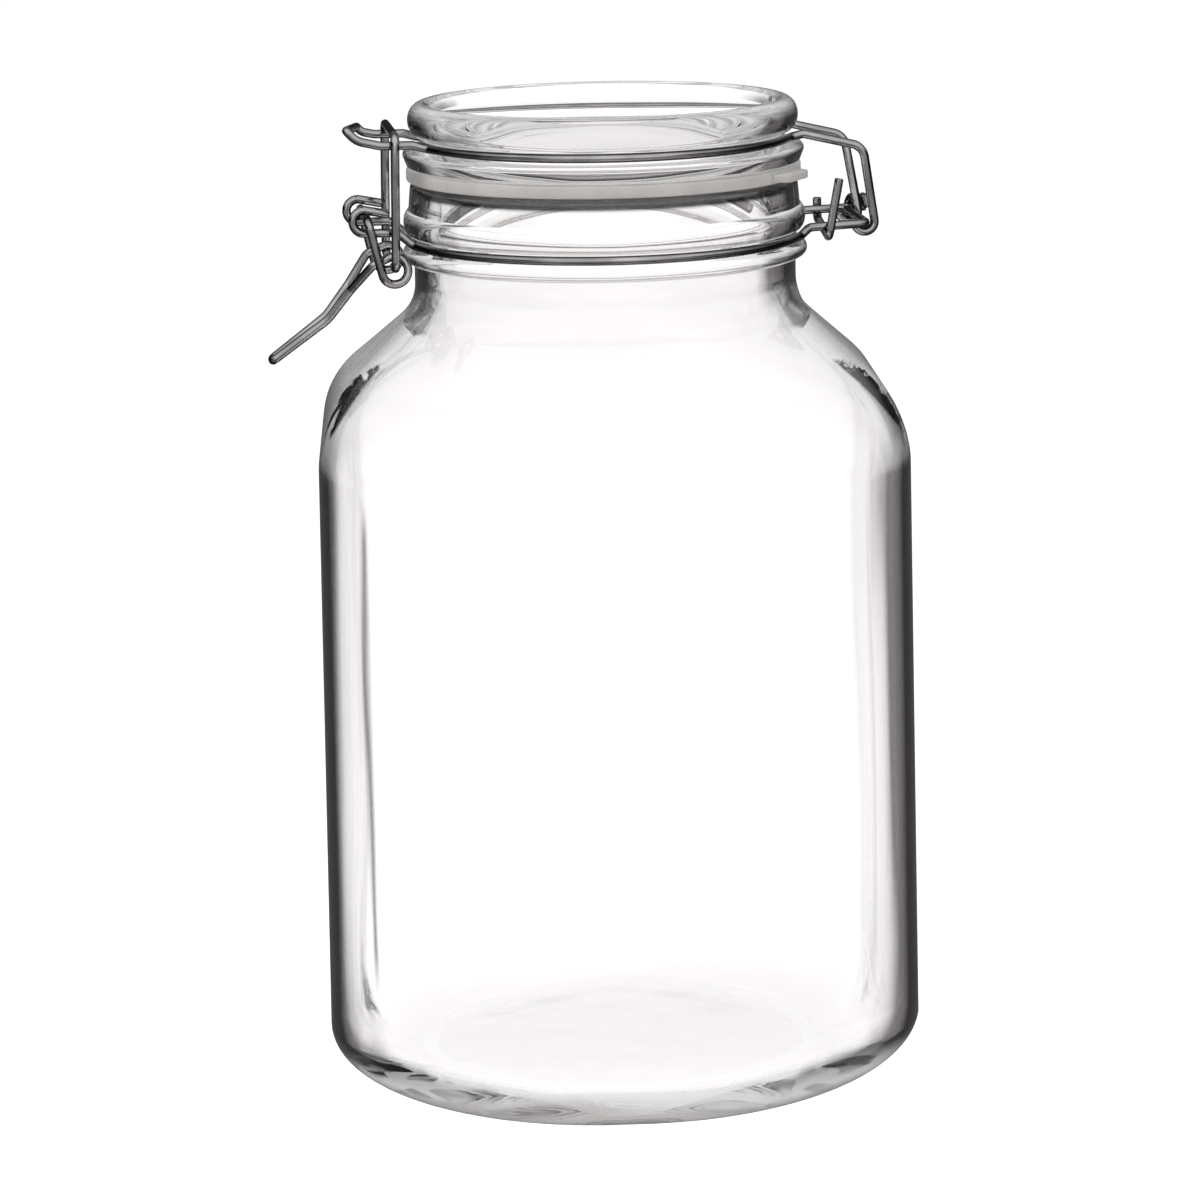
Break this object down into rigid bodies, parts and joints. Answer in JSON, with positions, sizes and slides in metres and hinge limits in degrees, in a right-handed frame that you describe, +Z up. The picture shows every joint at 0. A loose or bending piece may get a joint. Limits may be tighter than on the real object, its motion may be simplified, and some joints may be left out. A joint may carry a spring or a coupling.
{
  "type": "canning jar",
  "caption": "Square clear glass storage jar with a round neck, a hinged glass lid, a rubber gasket and a wire swing clasp.",
  "frame": {"origin": "centre of the glass body's flat underside, which stands on the table", "axes": "+Z up through the lid; the body's flat sides face +X, -X, +Y and -Y; the wire clasp is on the -X side and the lid's hinge on the +X side, both turned 4.5 degrees anticlockwise seen from above; the front is the -Y side"},
  "size_m": [0.1589, 0.1478, 0.2493],
  "materials": {
    "glass": "clear, polished",
    "rubber": "matt",
    "wire": "bright drawn stainless wire"
  },
  "bodies": {
    "jar": {"glass_body": "glass", "front_neck_wire": "wire", "rear_neck_wire": "wire", "tie_wire": "wire"},
    "lid": {"glass_lid": "glass", "gasket": "rubber", "lid_wire": "wire"},
    "lever": {"clasp_lever": "wire"},
    "bail": {"bail_link": "wire"}
  },
  "joints": [
    {"name": "lid_hinge", "type": "hinge", "parent": "jar", "child": "lid", "pos_m": [0.0635, 0.005, 0.218], "axis": [-0.0785, 0.9969, 0], "range_deg": [0, 105]},
    {"name": "lever_pivot", "type": "hinge", "parent": "jar", "child": "lever", "pos_m": [-0.06001, -0.00472, 0.2223], "axis": [-0.0785, 0.9969, 0], "range_deg": [0, 110.5]},
    {"name": "bail_swing", "type": "hinge", "parent": "lever", "child": "bail", "pos_m": [-0.05363, -0.00422, 0.2105], "axis": [-0.0785, 0.9969, 0], "range_deg": [-110.5, 0]}
  ],
  "couplings": [
    {"joint": "lever_pivot", "follows": "lid_hinge", "ratio": 1.05},
    {"joint": "bail_swing", "follows": "lid_hinge", "ratio": -1.05}
  ]
}
